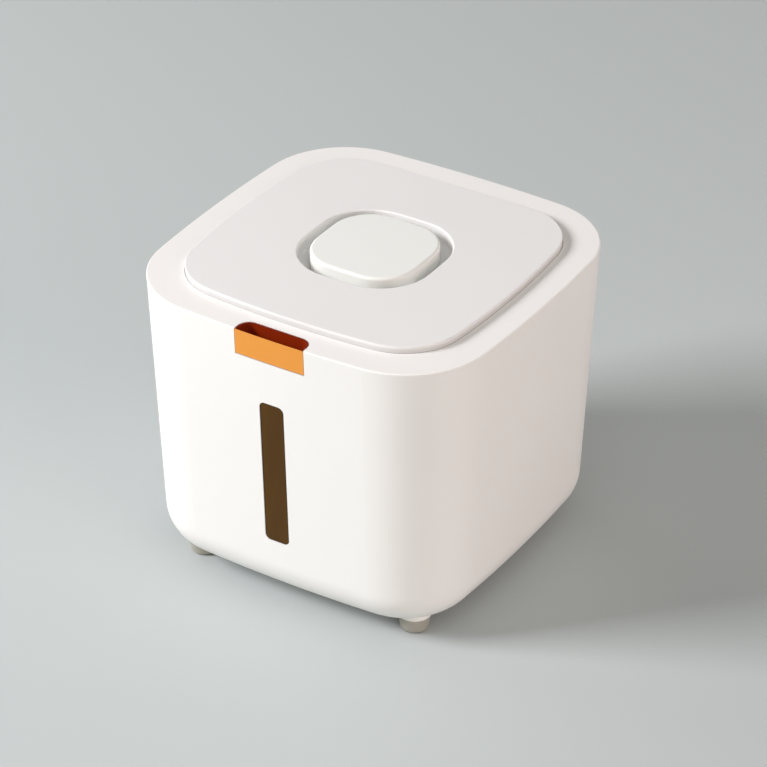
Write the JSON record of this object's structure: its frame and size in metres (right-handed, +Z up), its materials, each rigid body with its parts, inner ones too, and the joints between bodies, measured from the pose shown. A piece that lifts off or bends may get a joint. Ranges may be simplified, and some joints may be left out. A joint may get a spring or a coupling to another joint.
{
  "type": "rice dispenser with drawer",
  "caption": "Square white rice bin with soft corners, a sight window, a pull latch, a hinged lid with a lift-out drying cartridge, and small feet.",
  "frame": {"origin": "middle of the base, on the plane the feet stand on", "axes": "+Z up, -Y towards the latch and window at the front, +X to the right seen from the front"},
  "size_m": [0.24, 0.24, 0.2116],
  "materials": {
    "shell_white": "satin",
    "frame_white": "satin",
    "lid_white": "satin",
    "knob_white": "satin",
    "liner_white": "matte",
    "bracket_white": "matte",
    "basket_white": "matte",
    "window_amber": "polished, see-through",
    "latch_orange": "satin",
    "foot_grey": "satin",
    "gasket_silicone": "satin",
    "ring_silicone": "satin",
    "pin_steel": "bright",
    "spring_steel": "bright",
    "screw_steel": "bright",
    "desiccant_felt": "matte"
  },
  "bodies": {
    "bin": {"body_shell": "shell_white", "window_lens": "window_amber", "top_frame": "frame_white", "hinge_pin_left": "pin_steel", "hinge_pin_right": "pin_steel", "lid_spring_left": "spring_steel", "lid_spring_right": "spring_steel", "latch_bracket": "bracket_white", "latch_screws": "screw_steel", "latch_spring_left": "spring_steel", "latch_spring_right": "spring_steel", "foot_front_left": "foot_grey", "foot_front_right": "foot_grey", "foot_rear_left": "foot_grey", "foot_rear_right": "foot_grey"},
    "lid": {"lid_cover": "lid_white", "lid_liner": "liner_white", "lid_gasket": "gasket_silicone", "lid_screws": "screw_steel"},
    "latch": {"latch_button": "latch_orange"},
    "cartridge": {"knob_cap": "knob_white", "knob_o_ring": "ring_silicone", "desiccant_basket": "basket_white", "desiccant_disc": "desiccant_felt"}
  },
  "joints": [
    {"name": "lid_hinge", "type": "hinge", "parent": "bin", "child": "lid", "pos_m": [0, 0.0956, 0.205], "axis": [-1, 0, 0], "range_deg": [0, 88], "deforming": ["lid_spring_left", "lid_spring_right"]},
    {"name": "latch_pull", "type": "slide", "parent": "bin", "child": "latch", "axis": [0, -1, 0], "range_m": [0, 0.0035], "stiffness_N_per_m": 600, "springref_m": -0.001, "deforming": ["latch_spring_left", "latch_spring_right"]},
    {"name": "cartridge_lift", "type": "slide", "parent": "lid", "child": "cartridge", "axis": [0, 0, 1], "range_m": [0, 0.03]}
  ]
}
